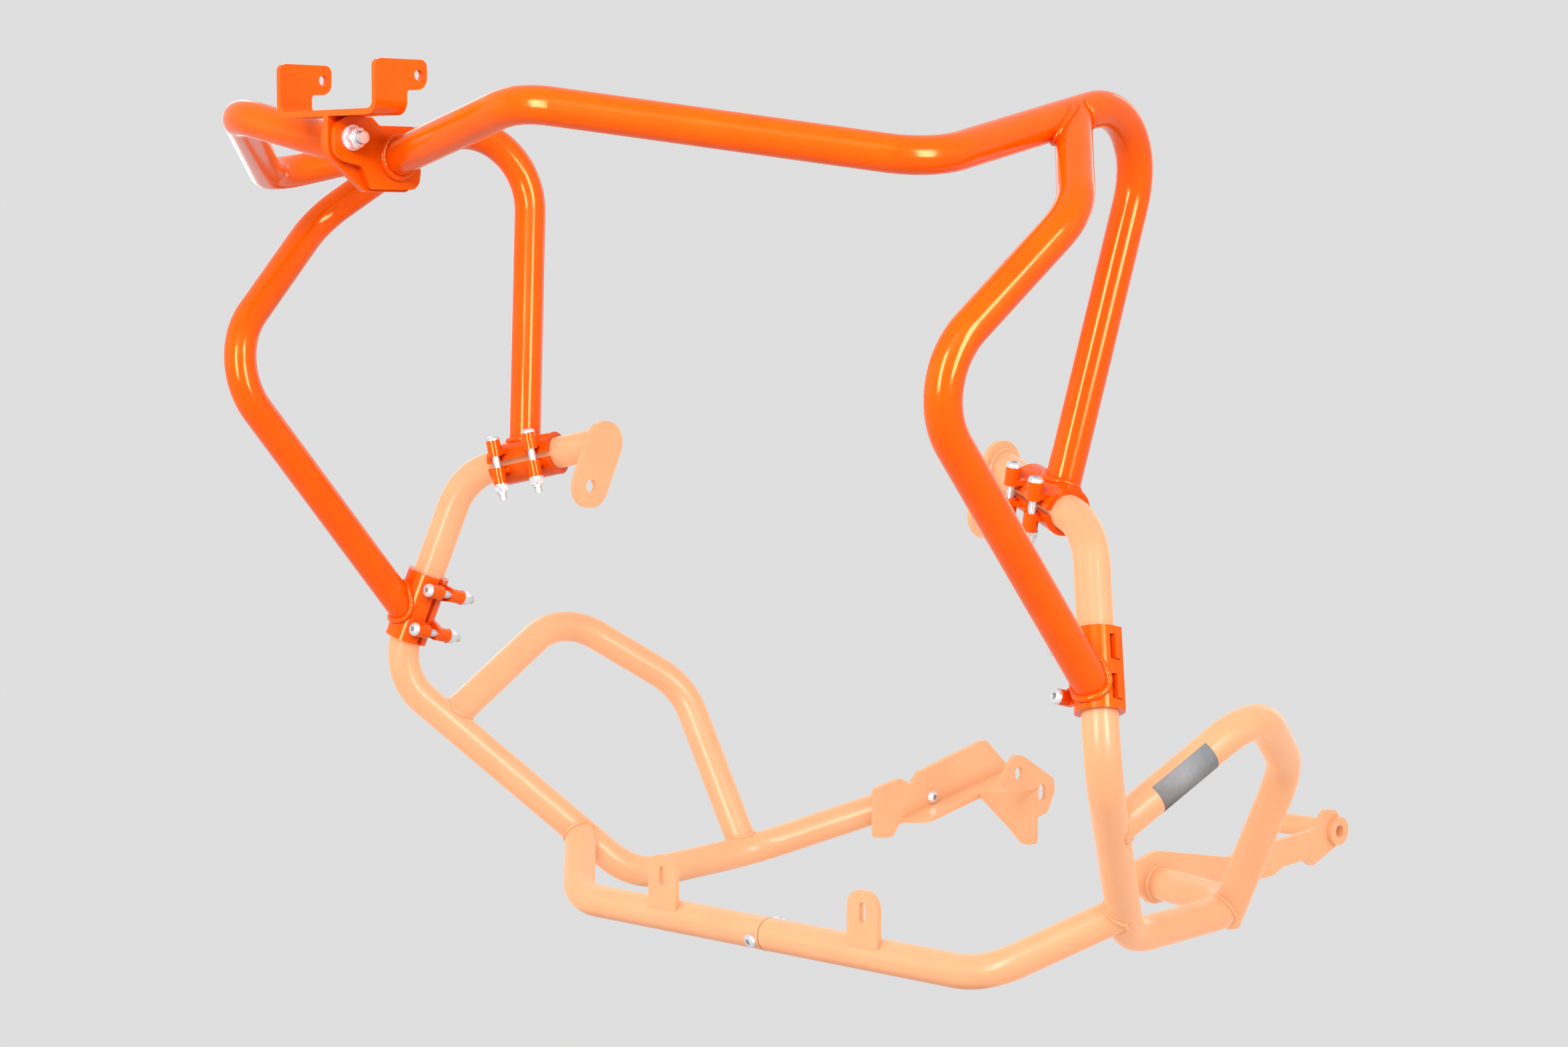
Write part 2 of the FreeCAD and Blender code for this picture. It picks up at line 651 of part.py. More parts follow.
# Centre bolt, its nut and washers
washer = ring(m8_washer_od / 2, (m8 + hole_play) / 2, m8_washer_thickness)
stack = 1.5 * plate_thickness
at_bolt = V(0, centre_bolt_y, centre_bolt_z)
washer_pair = []
for direction in (-1, 1):
    washer_pair.append(placed(washer, at_bolt + V(direction * stack, 0, 0),
                              V(0, 1, 0), V(0, 0, direction), V(direction, 0, 0)))
nodes["centre_washers"] = Part.makeCompound(washer_pair)
face = stack + m8_washer_thickness
centre_nut = placed(lock_nut(m8_nut_across, m8, m8_nut_height), at_bolt + V(face, 0, 0),
                    V(0, 1, 0), V(0, 0, 1), V(1, 0, 0))
nodes["centre_nut"] = centre_nut
shank_length = 2 * face + m8_nut_height + m8_thread_end
shank = Part.makeCylinder(m8 / 2, shank_length, at_bolt - V(face, 0, 0), V(1, 0, 0))
head = placed(hexagon(m8_nut_across, m8_head_height), at_bolt - V(face, 0, 0),
              V(0, 1, 0), V(0, 0, -1), V(-1, 0, 0))
nodes["centre_bolt"] = shank.fuse(head).removeSplitter()

# Left rear bracket: blade with a folded flange, gusset and slotted end plate
left_face = lower_end["left"].x
blade_inner = left_face - blade_thickness
fold_front_y, fold_front_z = left_fold_front
fold_rear_y, fold_rear_z = left_fold_rear
fold_slope = (fold_rear_z - fold_front_z) / (fold_rear_y - fold_front_y)
blade = plate_across_x(blade_inner, blade_thickness, [
    (467, 38, 4),
    (467, 79, 5),
    (497, 85, 6),
    (510, 77.5, 6),
    (520, 88, 6),
    (601, 108, 9),
    (fold_rear_y, 82, 4),
    (fold_rear_y, fold_rear_z, 0),
    (fold_front_y, fold_front_z, 0),
    (487, 36.6, 5),
])
flange_inner = left_face - left_flange_width
shelf_inner = left_face - left_shelf_reach
flange_plan = outline([
    (blade_inner, fold_front_y + 4, 0),
    (blade_inner, fold_rear_y, 0),
    (flange_inner, left_shelf_rear_y, 5),
    (shelf_inner, left_shelf_front_y + 1, 0),
    (shelf_inner, left_shelf_front_y, 0),
    (flange_inner, left_shelf_front_y, 0),
    (flange_inner, fold_front_y + 12, 8),
]).extrude(V(0, 0, far))
shelf_z = fold_front_z + fold_slope * (left_shelf_front_y - fold_front_y)
slab = Part.Face(Part.makePolygon([
    V(0, fold_front_y, fold_front_z),
    V(0, fold_rear_y, fold_rear_z),
    V(0, fold_rear_y, fold_rear_z + bracket_sheet),
    V(0, fold_front_y, fold_front_z + bracket_sheet),
    V(0, fold_front_y, fold_front_z),
])).extrude(V(left_face, 0, 0))
flange = slab.common(flange_plan)
blade_bolt_hole = pin_across_x(0, left_blade_bolt_y, left_blade_bolt_z,
                               (m6 + hole_play) / 2, far)
keep("left", "rear_bracket", blade.fuse(flange).cut(blade_bolt_hole).removeSplitter())

end_inner = shelf_inner - left_end_plate_thickness
gusset = plate_across_y(left_shelf_front_y - gusset_thickness, gusset_thickness, [
    (shelf_z, flange_inner, 0),
    (shelf_z - 21, flange_inner - 31, 3),
    (shelf_z - 34, flange_inner - 47, 3),
    (shelf_z - 34, end_inner, 6),
    (shelf_z + 13, end_inner, 0),
    (shelf_z + bracket_sheet, flange_inner, 0),
])
keep("left", "rear_gusset", gusset)

end_plate = plate_across_x(end_inner, left_end_plate_thickness, [
    (527, 88, 8),
    (545, 110, 10),
    (556, 106, 8),
    (593, 84, 5),
    (594, 73, 4),
    (585, 56.5, 5),
    (left_shelf_front_y, 53, 0),
    (left_shelf_front_y, shelf_z + 13.5, 0),
    (541, shelf_z + 13.5, 6),
])
slots = [
    slot_across_x(end_inner, left_end_plate_thickness, 549.5, 92.5, left_slot_width, 11.4),
    slot_across_x(end_inner, left_end_plate_thickness, 578.5, 73.7, left_slot_width, 14.5),
]
keep("left", "rear_end_plate", end_plate.cut(slots))

blade_bolt = placed(button_bolt(blade_thickness + m6_nut_height + short_thread_end),
                    V(blade_inner, left_blade_bolt_y, left_blade_bolt_z),
                    V(0, -1, 0), V(0, 0, 1), V(-1, 0, 0))
keep("left", "rear_bracket_bolt", blade_bolt)
blade_nut = placed(lock_nut(m6_nut_across, m6, m6_nut_height),
                   V(left_face, left_blade_bolt_y, left_blade_bolt_z),
                   V(0, 1, 0), V(0, 0, 1), V(1, 0, 0))
keep("left", "rear_bracket_nut", blade_nut)

# Right rear bracket: long blade, spacer and collar
right_face = lower_end["right"].x
right_inner = right_face - blade_thickness
right_hole = pin_across_x(-far, right_boss_y, right_boss_z, right_boss_hole / 2, 2 * far)
right_blade = plate_across_x(right_inner, blade_thickness, [
    (437.5, 38, 10),
    (437.5, 58, 6),
    (463, 64.5, 10),
    (551, 49, 20),
    (609.7, 55, 10),
    (662, 59, 6),
    (674, 74, 10),
    (right_boss_y + 1, 71.5, 9),
    (698.5, 52, 8),
    (687, 42, 6),
    (657, 29.5, 3),
    (646.5, 36, 5),
    (618, 33.5, 8),
    (606, 28, 6),
    (588, 27.5, 0),
    (457, 24, 10),
])
keep("right", "rear_bracket", right_blade.cut(right_hole))
collar = ring(right_collar_od / 2, right_boss_hole / 2, right_collar_thickness)
keep("right", "rear_collar", placed(collar, V(right_face, right_boss_y, right_boss_z),
                                    V(0, 1, 0), V(0, 0, 1), V(1, 0, 0)))
spacer = ring(right_spacer_od / 2, right_boss_hole / 2, right_spacer_length)
keep("right", "rear_spacer", placed(spacer, V(right_inner, right_boss_y, right_boss_z),
                                    V(0, 1, 0), V(0, 0, -1), V(-1, 0, 0)))

# The stored frame has its origin midway between the holes of the two mount plates
mount_centre = V(0, mount_plate_top_y - mount_hole_back, mount_plate_top_z - mount_hole_drop)
for name, shape in nodes.items():
    shape.translated(mount_centre * -1).exportStep("parts/" + name + ".step")
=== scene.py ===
import json
import math

import bmesh
import bpy
from mathutils import Matrix, Vector, noise
from mathutils.bvhtree import BVHTree


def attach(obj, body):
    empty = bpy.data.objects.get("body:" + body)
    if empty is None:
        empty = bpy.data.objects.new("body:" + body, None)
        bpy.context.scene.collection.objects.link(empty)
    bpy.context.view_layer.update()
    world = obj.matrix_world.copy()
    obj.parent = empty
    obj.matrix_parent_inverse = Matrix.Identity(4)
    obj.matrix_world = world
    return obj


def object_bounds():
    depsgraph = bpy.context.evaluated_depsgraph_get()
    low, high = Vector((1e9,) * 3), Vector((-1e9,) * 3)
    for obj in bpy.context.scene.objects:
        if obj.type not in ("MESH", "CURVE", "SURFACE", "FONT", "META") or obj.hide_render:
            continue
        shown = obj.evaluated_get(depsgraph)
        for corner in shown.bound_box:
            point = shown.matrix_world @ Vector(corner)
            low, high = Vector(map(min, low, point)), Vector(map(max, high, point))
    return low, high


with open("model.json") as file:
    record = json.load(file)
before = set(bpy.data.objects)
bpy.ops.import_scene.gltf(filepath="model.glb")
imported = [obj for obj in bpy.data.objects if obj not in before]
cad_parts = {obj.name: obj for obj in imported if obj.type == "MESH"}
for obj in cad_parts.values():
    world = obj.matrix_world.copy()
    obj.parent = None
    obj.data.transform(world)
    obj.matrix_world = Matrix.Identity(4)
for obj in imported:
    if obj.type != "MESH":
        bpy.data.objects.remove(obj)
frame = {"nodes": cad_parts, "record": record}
cad_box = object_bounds()
nodes = frame["nodes"]
scene = bpy.context.scene
BODY = "root"

# The row's origin as mounted on the motorcycle, metres
ORIGIN = Vector((0.0, 0.2035, 0.340))

# Tubes and bolts, metres
TUBE_RADIUS = 0.0125
M6_RADIUS = 0.003
M6_PITCH = 0.001
M8_RADIUS = 0.004
M8_PITCH = 0.00125

# Colours of the two powder coats: main tone, mottle, painted shade in the nooks, painted
# glow (dimmer in the nooks) and sheen
ORANGE = (0.94, 0.106, 0.001, 1.0)
ORANGE_DEEP = (0.90, 0.092, 0.001, 1.0)
ORANGE_NOOK_SHADE = (0.64, 0.022, 0.0, 1.0)
ORANGE_PAINTED_GLOW = (0.02, 0.010, 0.0, 1.0)
ORANGE_SHEEN = (1.0, 0.56, 0.22, 1.0)
PALE = (0.43, 0.192, 0.098, 1.0)
PALE_DEEP = (0.41, 0.178, 0.089, 1.0)
PALE_NOOK_SHADE = (0.36, 0.14, 0.06, 1.0)
PALE_PAINTED_GLOW = (0.60, 0.303, 0.157, 1.0)
PALE_PAINTED_GLOW_DEEP = (0.59, 0.287, 0.146, 1.0)
PALE_PAINTED_GLOW_SHADED = (0.30, 0.10, 0.035, 1.0)
PALE_SHEEN = (1.0, 0.90, 0.80, 1.0)
NO_GLOW = (0.0, 0.0, 0.0, 1.0)

# Colours of the joint line, the zinc with the painted shade of the key sockets, the film
# and the studio
JOINT_SHADOW = (0.42, 0.15, 0.06, 1.0)
JOINT_SHADOW_DEEP = (0.34, 0.11, 0.04, 1.0)
ZINC = (0.84, 0.88, 0.93, 1.0)
ZINC_DARK = (0.70, 0.74, 0.79, 1.0)
THREAD_DARK = (0.30, 0.32, 0.35, 1.0)
SOCKET_DARK = (0.34, 0.35, 0.38, 1.0)
FILM_GREY = (0.246, 0.258, 0.276, 1.0)
FILM_LIGHTENING = 1.12
FILM_GREY_LIGHT = tuple(part * FILM_LIGHTENING for part in FILM_GREY[:3]) + (1.0,)
STUDIO_GREY = (0.737, 0.737, 0.737, 1.0)
FLOOR_TONE = (0.42, 0.30, 0.22, 1.0)
AIR_TONE = (1.0, 0.93, 0.86, 1.0)

# Reach of the shade in nooks, metres
NOOK_REACH = 0.012
NOOK_SAMPLES = 8

# Values between which a noise is spread over its range, and how fine uneven gloss is
NOISE_LOW = 0.3
NOISE_HIGH = 0.7
GLOSS_DETAIL = 2.0
COAT_GLOSS_RANGE = 0.04

# Camera at the photograph's viewpoint, metres and millimetres of lens and sensor
CAMERA_AT = Vector((1.9025, -1.6418, 0.5191)) - ORIGIN
CAMERA_RIGHT = Vector((0.6977, 0.7164, 0.0))
CAMERA_FORWARD = Vector((-0.7144, 0.6958, -0.0743)).normalized()
CAMERA_LENS = 82.24
CAMERA_SENSOR = 36.0
CAMERA_CLIP = 100.0


# Materials

def new_material(name):
    """Material with its node tree and its shader."""
    material = bpy.data.materials.new(name)
    material.use_nodes = True
    tree = material.node_tree
    return material, tree, tree.nodes["Principled BSDF"]


def object_coords(tree):
    return tree.nodes.new("ShaderNodeTexCoord").outputs["Object"]


def noise_value(tree, coords, scale, detail):
    texture = tree.nodes.new("ShaderNodeTexNoise")
    texture.inputs["Scale"].default_value = scale
    texture.inputs["Detail"].default_value = detail
    tree.links.new(coords, texture.inputs["Vector"])
    return texture.outputs["Fac"]


def noise_between(tree, coords, scale, detail, low=0.0, high=1.0):
    """Noise spread over a range, as a plain value."""
    remap = tree.nodes.new("ShaderNodeMapRange")
    remap.inputs["From Min"].default_value = NOISE_LOW
    remap.inputs["From Max"].default_value = NOISE_HIGH
    remap.inputs["To Min"].default_value = low
    remap.inputs["To Max"].default_value = high
    tree.links.new(noise_value(tree, coords, scale, detail), remap.inputs["Value"])
    return remap.outputs["Result"]


def feed(tree, value, target):
    """Give an input a plain colour, or link it where the value is another socket."""
    if isinstance(value, bpy.types.NodeSocket):
        tree.links.new(value, target)
    else:
        target.default_value = value


def colour_between(tree, factor, first, second):
    """Mix of two colours, each of them plain or a socket."""
    mix = tree.nodes.new("ShaderNodeMix")
    mix.data_type = "RGBA"
    feed(tree, first, mix.inputs["A"])
    feed(tree, second, mix.inputs["B"])
    tree.links.new(factor, mix.inputs["Factor"])
    return mix.outputs["Result"]


def uneven_gloss(tree, shader, coords, scale, low, high):
    """Roughness that wanders between two values."""
    rough = noise_between(tree, coords, scale, GLOSS_DETAIL, low, high)
    tree.links.new(rough, shader.inputs["Roughness"])


def fine_relief(tree, shader, coords, scale, detail, strength, depth):
    """Fine noise as relief on a surface."""
    bump = tree.nodes.new("ShaderNodeBump")
    bump.inputs["Strength"].default_value = strength
    bump.inputs["Distance"].default_value = depth
    tree.links.new(noise_value(tree, coords, scale, detail), bump.inputs["Height"])
    tree.links.new(bump.outputs["Normal"], shader.inputs["Normal"])


def powder_coat(name, tones, painted_glows, sheen, gloss, rough):
    """Powder coat with faint mottling and a fine ripple, with painted shade in the nooks
    and a painted glow.

    Tones and painted glows each hold the main colour, its mottle and the painted shade of
    the nooks.
    """
    material, tree, shader = new_material(name)
    coords = object_coords(tree)
    mottle = noise_between(tree, coords, scale=38.0, detail=3.0)
    # Ambient occlusion masks the painted shade: in creases, hollows and between parts the
    # colours turn to the nook ones
    nook_shade_mask = tree.nodes.new("ShaderNodeAmbientOcclusion")
    nook_shade_mask.samples = NOOK_SAMPLES
    nook_shade_mask.inputs["Distance"].default_value = NOOK_REACH
    for colours, target in ((tones, "Base Color"), (painted_glows, "Emission Color")):
        main, deep, nook_shade = colours
        plain = colour_between(tree, mottle, main, deep)
        shaded = colour_between(tree, nook_shade_mask.outputs["AO"], nook_shade, plain)
        tree.links.new(shaded, shader.inputs[target])
    shader.inputs["Emission Strength"].default_value = 1.0
    shader.inputs["Specular IOR Level"].default_value = gloss
    shader.inputs["Specular Tint"].default_value = sheen
    shader.inputs["Coat Weight"].default_value = 0.05
    shader.inputs["Coat Roughness"].default_value = 0.08
    uneven_gloss(tree, shader, coords, scale=90.0, low=rough, high=rough + COAT_GLOSS_RANGE)
    fine_relief(tree, shader, coords, scale=520.0, detail=1.0, strength=0.05, depth=0.00002)
    return material


def zinc_plate(name, light, dark):
    """Zinc-plated steel with a spangled tone, fine grain and soft gloss."""
    material, tree, shader = new_material(name)
    coords = object_coords(tree)
    tone = noise_between(tree, coords, scale=380.0, detail=4.0)
    tree.links.new(colour_between(tree, tone, light, dark), shader.inputs["Base Color"])
    shader.inputs["Metallic"].default_value = 0.7
    uneven_gloss(tree, shader, coords, scale=260.0, low=0.22, high=0.34)
    fine_relief(tree, shader, coords, scale=900.0, detail=2.0, strength=0.08, depth=0.00004)
    return material


def satin_film(name, dark, light):
    """Satin film, slightly uneven."""
    material, tree, shader = new_material(name)
    coords = object_coords(tree)
    tone = noise_between(tree, coords, scale=240.0, detail=3.0)
    tree.links.new(colour_between(tree, tone, dark, light), shader.inputs["Base Color"])
    shader.inputs["Specular IOR Level"].default_value = 0.2
    uneven_gloss(tree, shader, coords, scale=500.0, low=0.50, high=0.62)
    return material


# Both coats carry a painted glow: a faint one on the orange, and on the pale coat most of
# its tone, which flattens its shading
coats = {
    "upper_paint": powder_coat("orange_powder_coat",
                               tones=(ORANGE, ORANGE_DEEP, ORANGE_NOOK_SHADE),
                               painted_glows=(ORANGE_PAINTED_GLOW, ORANGE_PAINTED_GLOW, NO_GLOW),
                               sheen=ORANGE_SHEEN, gloss=0.5, rough=0.15),
    "lower_paint": powder_coat("pale_powder_coat",
                               tones=(PALE, PALE_DEEP, PALE_NOOK_SHADE),
                               painted_glows=(PALE_PAINTED_GLOW, PALE_PAINTED_GLOW_DEEP, PALE_PAINTED_GLOW_SHADED),
                               sheen=PALE_SHEEN, gloss=0.22, rough=0.30),
    "zinc": zinc_plate("zinc_plated_steel", ZINC, ZINC_DARK),
}
joint_shadow = powder_coat("seam_shadow",
                           tones=(JOINT_SHADOW, JOINT_SHADOW_DEEP, PALE_NOOK_SHADE),
                           painted_glows=(ORANGE_PAINTED_GLOW, ORANGE_PAINTED_GLOW, NO_GLOW),
                           sheen=PALE_SHEEN, gloss=0.1, rough=0.3)
thread_zinc = zinc_plate("zinc_plated_thread", ZINC_DARK, THREAD_DARK)
# Darker zinc of the key sockets is painted shade of a deep recess, laid on a shallow
# hexagon
shaded_socket_zinc = zinc_plate("socket_shadow", SOCKET_DARK, THREAD_DARK)
grey_film = satin_film("grey_film", FILM_GREY, FILM_GREY_LIGHT)

for part in frame["record"]["subparts"]:
    painted = nodes[part["node"]].data.materials
    painted.clear()
    painted.append(coats[part["material_slot"]])


# Meshes and pieces

def finish_piece(name, mesh, material):
    """Link a built mesh as a smooth piece that rides on the bars."""
    mesh.shade_smooth()
    piece = bpy.data.objects.new(name, mesh)
    scene.collection.objects.link(piece)
    mesh.materials.append(material)
    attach(piece, BODY)
    return piece


def circle(centre, first, second, radius, count):
    """Points round a circle from one direction towards another."""
    points = []
    for i in range(count):
        turn = 2 * math.pi * i / count
        outward = first * math.cos(turn) + second * math.sin(turn)
        points.append(centre + outward * radius)
    return points


def loft(name, rings, ring_closed, ends_joined=False, capped=False):
    """Mesh through a row of rings that have the same number of points."""
    build = bmesh.new()
    grid = [[build.verts.new(place) for place in ring] for ring in rings]
    pairs = list(zip(grid, grid[1:]))
    if ends_joined:
        pairs.append((grid[-1], grid[0]))
    count = len(grid[0])
    for first, second in pairs:
        for i in range(count if ring_closed else count - 1):
            after = (i + 1) % count
            build.faces.new((first[i], first[after], second[after], second[i]))
    if capped:
        build.faces.new(grid[-1])
    bmesh.ops.recalc_face_normals(build, faces=build.faces)
    mesh = bpy.data.meshes.new(name)
    build.to_mesh(mesh)
    build.free()
    return mesh


# Centre-line corners of the tubes near their welds

def point(x, y, z):
    """Point given in millimetres as mounted, in the row frame."""
    return Vector((x, y, z)) / 1000 - ORIGIN


UPPER_FRONT = point(150, -171, 617)
UPPER_START = point(0, -153, 583.3)
UPPER_SIDE = point(350, 0, 580)
UPPER_REAR = point(328, 246, 632)
BRANCH_TOP = point(398, 82.5, 548)
BRANCH_NOSE = point(370, -33, 440.5)
CROSS_CORNER = point(217, 196, 14.5)
LOWER_START = {"left": point(213, 219, 373), "right": point(213, 219, 370.5)}
LOWER_TOP = {"left": point(332, 177, 346), "right": point(331, 175, 338)}
KNEE = {"left": point(375.5, 136.5, 184), "right": point(378, 135, 182.5)}
FLOOR_CORNER = {"left": point(259.5, 292, 14.2), "right": point(266.5, 293, 35)}
HEEL = {"left": point(258, 422, 20.6), "right": point(261, 431, 40)}
LOWER_END = {"left": point(158.5, 489, 64), "right": point(152.5, 464, 39.5)}
LOOP_TOP = {"left": point(374, 314, 220), "right": point(372, 306, 208)}
LOOP_REAR = {"left": point(326, 408, 155), "right": point(322.6, 402.7, 154)}

# Shares of the tube between two corners at which another tube is welded on
BRANCH_ROOT = 0.604
LOOP_ROOT = {"left": 0.229, "right": 0.341}
LOOP_FOOT = {"left": 0.962, "right": 0.866}
CROSS_ROOT = {"left": 0.779, "right": 0.83}

# Clamps along the lower tube, and the feet of the tubes welded on them, metres
REAR_CLAMP_AT = 0.069
FRONT_CLAMP_AT = {"left": 0.1144, "right": 0.0998}
UPPER_FOOT = 0.0075
UPPER_FOOT_BACK = Vector((0, 0.0045, 0))
BRANCH_FOOT = {"left": 0.0116, "right": 0.0175}


# Weld beads

BEAD_RADIUS = {"upper_paint": 0.0027, "lower_paint": 0.0019}
BEAD_SIDES = 8
BEAD_PITCH = 0.0032
BEAD_RIPPLE = 0.00016
BEAD_RIPPLE_STEPS = 5
BEAD_FEWEST_RIPPLES = 6
BEAD_UNEVEN = 0.12
BEAD_UNEVEN_SCALE = 220.0
BEAD_PROUD = 0.25
BEAD_BACK = 0.15
WELD_STEPS = 72
WELD_LOOK_FROM = 0.045
WELD_LOOK_REACH = 0.12
WELD_MISSED_AT = 0.05
SHORTEST_SPAN = 1e-9
HALF_RUN = 0.5


def mirrored(place, sign):
    return Vector((place.x * sign, place.y, place.z))


def surface_of(name):
    """Search tree over the mesh of a CAD node."""
    mesh = nodes[name].data
    verts = [vert.co.copy() for vert in mesh.vertices]
    faces = [list(polygon.vertices) for polygon in mesh.polygons]
    return BVHTree.FromPolygons(verts, faces)


def weld_line(start, towards, surface, bead):
    """Closed line where a tube that runs on from start meets a surface.

    Each entry is a place and the direction away from the tube's axis.
    """
    axis = towards.normalized()
    across = axis.orthogonal().normalized()
    up = axis.cross(across)
    line = []
    for i in range(WELD_STEPS):
        turn = 2 * math.pi * i / WELD_STEPS
        outward = across * math.cos(turn) + up * math.sin(turn)
        origin = start + outward * (TUBE_RADIUS + bead * BEAD_PROUD)
        place = surface.ray_cast(origin, axis, WELD_LOOK_REACH)[0]
        if place is None:
            place = line[-1][0] if line else start + axis * WELD_MISSED_AT
        line.append((place - axis * bead * BEAD_BACK, outward))
    return line


def weld_bead(name, line, bead, slot, seed):
    """Rippled bead of round section swept along a closed line."""
    count = len(line)
    travelled = [0.0]
    for i in range(count):
        step = line[(i + 1) % count][0] - line[i][0]
        travelled.append(travelled[-1] + step.length)
    ripples = max(BEAD_FEWEST_RIPPLES, round(travelled[-1] / BEAD_PITCH))
    steps = ripples * BEAD_RIPPLE_STEPS
    shift = Vector((seed, 0, 0))
    rings = []
    at = 0
    for k in range(steps):
        travel = travelled[-1] * k / steps
        while at < count - 1 and travelled[at + 1] < travel:
            at += 1
        span = max(travelled[at + 1] - travelled[at], SHORTEST_SPAN)
        share = (travel - travelled[at]) / span
        here, out_here = line[at]
        there, out_there = line[(at + 1) % count]
        centre = here.lerp(there, share)
        outward = out_here.lerp(out_there, share).normalized()
        sideways = (there - here).normalized().cross(outward).normalized()
        phase = (ripples * k / steps) % 1.0
        dip = 1 - math.sqrt(max(0.0, 1 - (phase - 0.5) ** 2 * 4))
        size = bead - BEAD_RIPPLE * dip
        size *= 1.0 + BEAD_UNEVEN * noise.noise(centre * BEAD_UNEVEN_SCALE + shift)
        rings.append(circle(centre, outward, sideways, size, BEAD_SIDES))
    mesh = loft(name, rings, ring_closed=True, ends_joined=True)
    finish_piece(name, mesh, coats[slot])


def welds_of(side):
    """Welded tube ends of one side.

    Each is a name, the corner before the end, the end, the node it meets and its slot.
    """
    lower_axis = (LOWER_TOP[side] - LOWER_START[side]).normalized()
    shin_axis = (KNEE[side] - LOWER_TOP[side]).normalized()
    rear_clamp = LOWER_START[side] + lower_axis * REAR_CLAMP_AT
    front_clamp = LOWER_TOP[side] + shin_axis * FRONT_CLAMP_AT[side]
    upper_foot = rear_clamp + lower_axis * UPPER_FOOT + UPPER_FOOT_BACK
    branch_foot = front_clamp + shin_axis * BRANCH_FOOT[side]
    branch_root = UPPER_SIDE.lerp(UPPER_REAR, BRANCH_ROOT)
    loop_root = KNEE[side].lerp(FLOOR_CORNER[side], LOOP_ROOT[side])
    loop_foot = FLOOR_CORNER[side].lerp(HEEL[side], LOOP_FOOT[side])
    cross_root = KNEE[side].lerp(FLOOR_CORNER[side], CROSS_ROOT[side])
    return (
        ("upper_start", UPPER_FRONT, UPPER_START, "centre_plate", "upper_paint"),
        ("upper_foot", UPPER_REAR, upper_foot, "rear_clamp_head_half", "upper_paint"),
        ("branch_root", BRANCH_TOP, branch_root, "upper_tube", "upper_paint"),
        ("branch_foot", BRANCH_NOSE, branch_foot, "front_clamp_head_half", "upper_paint"),
        ("lower_start", LOWER_TOP[side], LOWER_START[side], "mount_plate", "lower_paint"),
        ("lower_end", HEEL[side], LOWER_END[side], "rear_bracket", "lower_paint"),
        ("loop_root", LOOP_TOP[side], loop_root, "lower_tube", "lower_paint"),
        ("loop_foot", LOOP_REAR[side], loop_foot, "lower_tube", "lower_paint"),
        ("cross_root", CROSS_CORNER, cross_root, "lower_tube", "lower_paint"),
    )


seed = 0
for side, sign in (("left", -1), ("right", 1)):
    for name, corner, end, target, slot in welds_of(side):
        seed += 1
        end = mirrored(end, sign)
        run = end - mirrored(corner, sign)
        near = end - run.normalized() * min(WELD_LOOK_FROM, run.length * HALF_RUN)
        bead = BEAD_RADIUS[slot]
        line = weld_line(near, run, surface_of(side + "_" + target), bead)
        weld_bead(side + "_weld_" + name, line, bead, slot, seed)


# Plain grey film on the right loop tube, wrapped over its outer and lower side

FILM_FROM = 0.0384
FILM_TO = 0.0904
FILM_ABOVE = math.radians(27)
FILM_BELOW = math.radians(-105)
FILM_LIFT = 0.00015
FILM_SUNK = -0.0001
FILM_SEGMENTS = 48


def film_rings():
    """Rings along the tube, with all four edges of the film sunk into the coat."""
    root = KNEE["right"].lerp(FLOOR_CORNER["right"], LOOP_ROOT["right"])
    axis = (LOOP_TOP["right"] - root).normalized()
    facing = (CAMERA_AT - root).normalized()
    facing = (facing - axis * facing.dot(axis)).normalized()
    upward = axis.cross(facing)
    upward = upward if upward.z > 0 else -upward
    rings = []
    for along, lift in ((FILM_FROM, FILM_SUNK), (FILM_FROM, FILM_LIFT),
                        (FILM_TO, FILM_LIFT), (FILM_TO, FILM_SUNK)):
        ring = []
        for i in range(FILM_SEGMENTS + 1):
            turn = FILM_BELOW + (FILM_ABOVE - FILM_BELOW) * i / FILM_SEGMENTS
            outward = facing * math.cos(turn) + upward * math.sin(turn)
            radius = TUBE_RADIUS + (FILM_SUNK if i in (0, FILM_SEGMENTS) else lift)
            ring.append(root + axis * along + outward * radius)
        rings.append(ring)
    return rings


film_mesh = loft("grey_film", film_rings(), ring_closed=False)
finish_piece("grey_film", film_mesh, grey_film)


# Dark line where the two halves of the cross tube meet

JOINT_HALF_WIDTH = 0.00035
JOINT_LIFT = 0.00012
JOINT_SUNK = -0.0002
JOINT_SEGMENTS = 64


def joint_rings():
    """Rings of a low collar in the middle plane."""
    rings = []
    for x, lift in ((-JOINT_HALF_WIDTH, JOINT_SUNK), (-JOINT_HALF_WIDTH, JOINT_LIFT),
                    (JOINT_HALF_WIDTH, JOINT_LIFT), (JOINT_HALF_WIDTH, JOINT_SUNK)):
        centre = Vector((x, CROSS_CORNER.y, CROSS_CORNER.z))
        rings.append(circle(centre, Vector((0, 1, 0)), Vector((0, 0, 1)),
                            TUBE_RADIUS + lift, JOINT_SEGMENTS))
    return rings


joint_mesh = loft("cross_tube_seam", joint_rings(), ring_closed=True)
finish_piece("cross_tube_seam", joint_mesh, joint_shadow)


# Bolt threads and hexagon sockets

THREADED_SHARE = 0.86
THREAD_STEPS = 14
THREAD_START = 0.0004
THREAD_CREST = 0.00022
THREAD_SUNK = 0.0002
THREAD_FLANK = 0.42
HEXAGON = 6
CLAMP_KEY_WIDTH = 0.0035
SMALL_KEY_WIDTH = 0.0032
# Share of the hexagon's corner radius and height over the head, from the rim inwards
SOCKET_RINGS = ((1.12, -0.00015), (1.08, 0.00012), (1.0, 0.00012),
                (0.82, -0.00005), (0.1, -0.0001))
MERGE_DISTANCE = 1e-6
AXIS_GUESS = Vector((0.3, 0.5, 0.8))
AXIS_ROUNDS = 60
HEAD_SLICE = 0.002
TIP_SLICE = 0.0005


